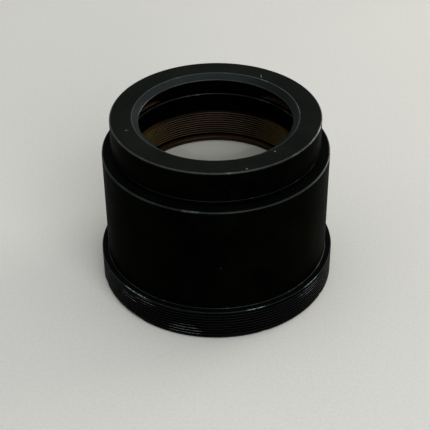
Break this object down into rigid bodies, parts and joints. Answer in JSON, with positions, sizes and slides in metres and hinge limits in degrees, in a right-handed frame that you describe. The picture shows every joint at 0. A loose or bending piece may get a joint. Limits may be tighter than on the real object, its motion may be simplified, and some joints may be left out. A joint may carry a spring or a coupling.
{
  "type": "barlow lens",
  "caption": "Short black barrel with a male thread at its foot and a screwed-on neck, holding a diverging air-spaced lens pair under a retaining ring.",
  "frame": {"origin": "centre of the bottom face", "axes": "+Z along the optical axis, from the threaded foot to the neck"},
  "size_m": [0.054, 0.054, 0.0419],
  "materials": {
    "black_barrel": "satin black anodised, worn bright on its edges",
    "black_cell": "matte black-brown anodised",
    "brass_shim": "plain rolled brass",
    "rubber_seat": "matte",
    "slip_plastic": "matte black",
    "lens_glass": "polished optical glass"
  },
  "bodies": {
    "barrel": {"barrel_body": "black_barrel", "lens_cell": "black_cell", "cell_shim": "brass_shim", "glass_seat": "rubber_seat", "flint_element": "lens_glass", "element_spacer": "slip_plastic", "crown_element": "lens_glass"},
    "neck_ring": {"neck_lock_ring": "black_barrel"},
    "neck": {"neck_cap": "black_barrel"},
    "slip": {"slip_ring": "slip_plastic"},
    "retainer": {"retaining_ring": "black_cell"},
    "stop": {"glare_stop": "black_cell"},
    "stop_ring": {"stop_lock_ring": "black_cell"}
  },
  "joints": [
    {"name": "neck_rise", "type": "slide", "parent": "barrel", "child": "neck_ring", "axis": [0, 0, 1], "range_m": [0, 0.006]},
    {"name": "neck_turn", "type": "hinge", "parent": "neck_ring", "child": "neck", "pos_m": [0, 0, 0.038], "axis": [0, 0, 1], "range_deg": [0, 2885]},
    {"name": "retainer_rise", "type": "slide", "parent": "barrel", "child": "slip", "axis": [0, 0, 1], "range_m": [0, 0.006]},
    {"name": "retainer_turn", "type": "hinge", "parent": "slip", "child": "retainer", "pos_m": [0, 0, 0.0242], "axis": [0, 0, 1], "range_deg": [0, 3605]},
    {"name": "stop_drop", "type": "slide", "parent": "barrel", "child": "stop", "axis": [0, 0, -1], "range_m": [0, 0.003]},
    {"name": "stop_ring_turn", "type": "hinge", "parent": "stop", "child": "stop_ring", "pos_m": [0, 0, 0.0044], "axis": [0, 0, -1], "range_deg": [0, 1445]}
  ],
  "couplings": [
    {"joint": "neck_turn", "follows": "neck_rise", "rad_per_m": 8377.6},
    {"joint": "retainer_turn", "follows": "retainer_rise", "rad_per_m": 10472},
    {"joint": "stop_ring_turn", "follows": "stop_drop", "rad_per_m": 8377.6}
  ]
}
